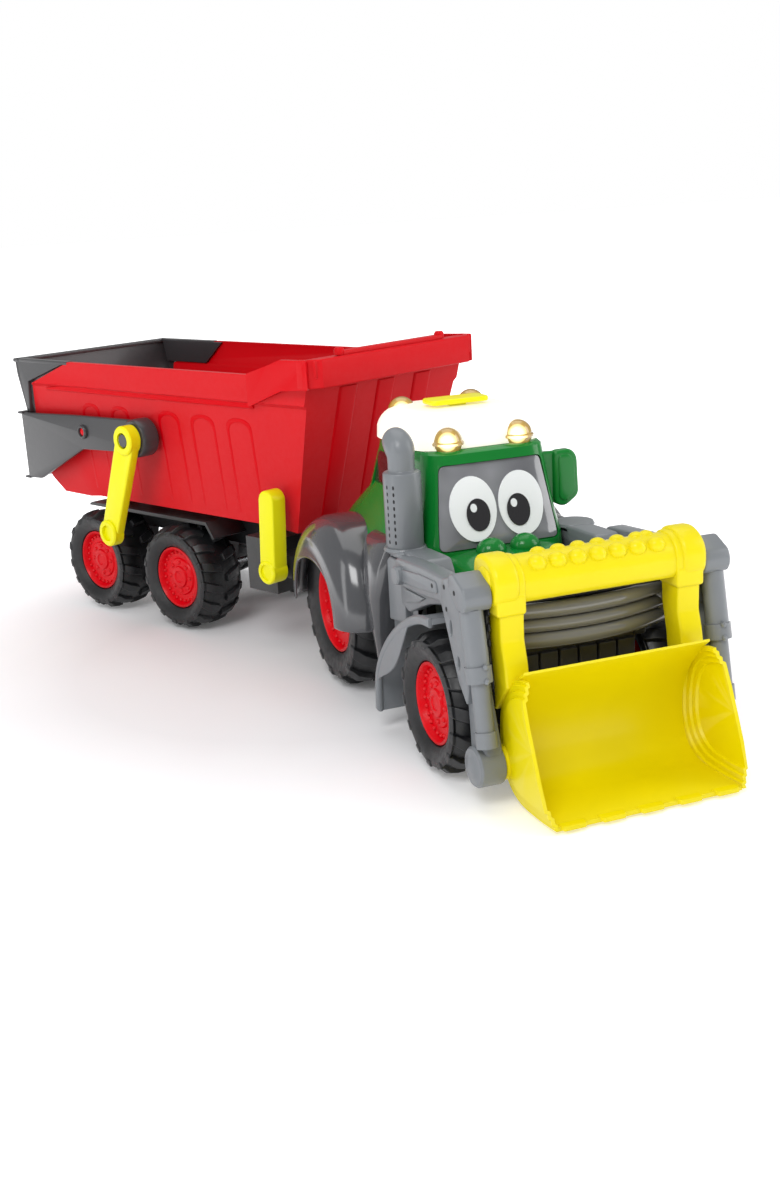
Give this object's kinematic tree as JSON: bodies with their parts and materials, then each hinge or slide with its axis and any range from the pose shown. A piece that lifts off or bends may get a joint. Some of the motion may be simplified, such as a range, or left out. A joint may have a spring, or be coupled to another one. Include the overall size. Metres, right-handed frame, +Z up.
{
  "type": "toy tractor",
  "caption": "Toy farm tractor with a front loader bucket and handle bar, towing a tipping trailer with a swinging tailgate.",
  "frame": {"origin": "on the ground, at the middle of the overall box with the trailer turned as it stands at rest", "axes": "-Y is the way the tractor drives, +X is its left, +Z is up; the trailer stands turned 25 degrees about the hitch pin"},
  "size_m": [0.2936, 0.657, 0.207],
  "materials": {
    "green_plastic": "gloss",
    "red_plastic": "gloss",
    "yellow_plastic": "gloss",
    "grey_plastic": "satin",
    "dark_grey_plastic": "satin",
    "black_plastic": "matt",
    "tyre_plastic": "matt",
    "white_plastic": "gloss, translucent",
    "lamp_amber": "clear",
    "dark_window": "gloss",
    "steel": "plain",
    "circuit_green": "matt"
  },
  "bodies": {
    "tractor": {"tractor_chassis": "black_plastic", "hitch_pin": "black_plastic", "battery_right": "steel", "battery_left": "steel", "battery_cover": "black_plastic", "speaker": "steel", "circuit_board": "circuit_green", "cab_shell": "green_plastic", "windscreen": "dark_window", "cab_glazing": "dark_window", "roof_cap": "white_plastic", "button_spring": "steel", "exhaust_stack": "grey_plastic", "grille": "dark_grey_plastic", "front_bumper": "dark_grey_plastic", "lamps_front": "lamp_amber", "lamps_rear": "lamp_amber", "fender_right": "grey_plastic", "fender_left": "grey_plastic", "side_frame_right": "grey_plastic", "side_frame_left": "grey_plastic"},
    "front_wheels": {"front_tyre_right": "tyre_plastic", "front_tyre_left": "tyre_plastic", "front_rim_right": "red_plastic", "front_rim_left": "red_plastic", "front_axle": "steel"},
    "rear_wheels": {"rear_tyre_right": "tyre_plastic", "rear_tyre_left": "tyre_plastic", "rear_rim_right": "red_plastic", "rear_rim_left": "red_plastic", "rear_axle": "steel"},
    "loader": {"loader_arm_right": "grey_plastic", "loader_arm_left": "grey_plastic", "loader_cross_frame": "black_plastic", "bucket_pin_right": "steel", "bucket_pin_left": "steel"},
    "bucket": {"bucket": "yellow_plastic", "handle_bar": "yellow_plastic"},
    "roof_button": {"roof_button": "yellow_plastic"},
    "trailer": {"trailer_chassis": "black_plastic", "tip_hinge_pin": "steel"},
    "trailer_front_wheels": {"trailer_front_tyre_right": "tyre_plastic", "trailer_front_tyre_left": "tyre_plastic", "trailer_front_rim_right": "red_plastic", "trailer_front_rim_left": "red_plastic", "trailer_front_axle": "steel"},
    "trailer_rear_wheels": {"trailer_rear_tyre_right": "tyre_plastic", "trailer_rear_tyre_left": "tyre_plastic", "trailer_rear_rim_right": "red_plastic", "trailer_rear_rim_left": "red_plastic", "trailer_rear_axle": "steel"},
    "latch": {"latch_shaft": "black_plastic", "latch_lever": "yellow_plastic"},
    "tipper": {"tipper_box": "red_plastic", "front_board": "red_plastic"},
    "tailgate": {"tailgate_frame": "dark_grey_plastic", "tailgate_panel": "dark_grey_plastic", "tailgate_lever": "yellow_plastic"}
  },
  "joints": [
    {"name": "front_wheels_spin", "type": "hinge", "parent": "tractor", "child": "front_wheels", "pos_m": [0.06376, -0.22603, 0.0385], "axis": [1, 0, 0], "continuous": true},
    {"name": "rear_wheels_spin", "type": "hinge", "parent": "tractor", "child": "rear_wheels", "pos_m": [0.06376, -0.06303, 0.051], "axis": [1, 0, 0], "continuous": true},
    {"name": "loader_lift", "type": "hinge", "parent": "tractor", "child": "loader", "pos_m": [0.06376, -0.18503, 0.099], "axis": [-1, 0, 0], "range_deg": [0, 40]},
    {"name": "bucket_tilt", "type": "hinge", "parent": "loader", "child": "bucket", "pos_m": [0.06376, -0.27903, 0.022], "axis": [1, 0, 0], "range_deg": [0, 60]},
    {"name": "button_press", "type": "slide", "parent": "tractor", "child": "roof_button", "axis": [0, 0, -1], "range_m": [0, 0.0012], "stiffness_N_per_m": 800, "springref_m": -0.0008, "deforming": ["button_spring"]},
    {"name": "hitch_turn", "type": "hinge", "parent": "tractor", "child": "trailer", "pos_m": [0.06376, -0.00803, 0.05], "axis": [0, 0, 1], "range_deg": [-55, 5]},
    {"name": "trailer_front_wheels_spin", "type": "hinge", "parent": "trailer", "child": "trailer_front_wheels", "pos_m": [-0.0047, 0.13879, 0.0385], "axis": [0.9063, 0.4226, 0], "continuous": true},
    {"name": "trailer_rear_wheels_spin", "type": "hinge", "parent": "trailer", "child": "trailer_rear_wheels", "pos_m": [-0.04528, 0.2258, 0.0385], "axis": [0.9063, 0.4226, 0], "continuous": true},
    {"name": "latch_turn", "type": "hinge", "parent": "trailer", "child": "latch", "pos_m": [0.04432, 0.03366, 0.062], "axis": [-0.9063, -0.4226, 0], "range_deg": [0, 35]},
    {"name": "box_tip", "type": "hinge", "parent": "trailer", "child": "tipper", "pos_m": [-0.05711, 0.25117, 0.074], "axis": [-0.9063, -0.4226, 0], "range_deg": [0, 40]},
    {"name": "tailgate_swing", "type": "hinge", "parent": "tipper", "child": "tailgate", "pos_m": [-0.01104, 0.15239, 0.141], "axis": [0.9063, 0.4226, 0], "range_deg": [0, 70]}
  ]
}
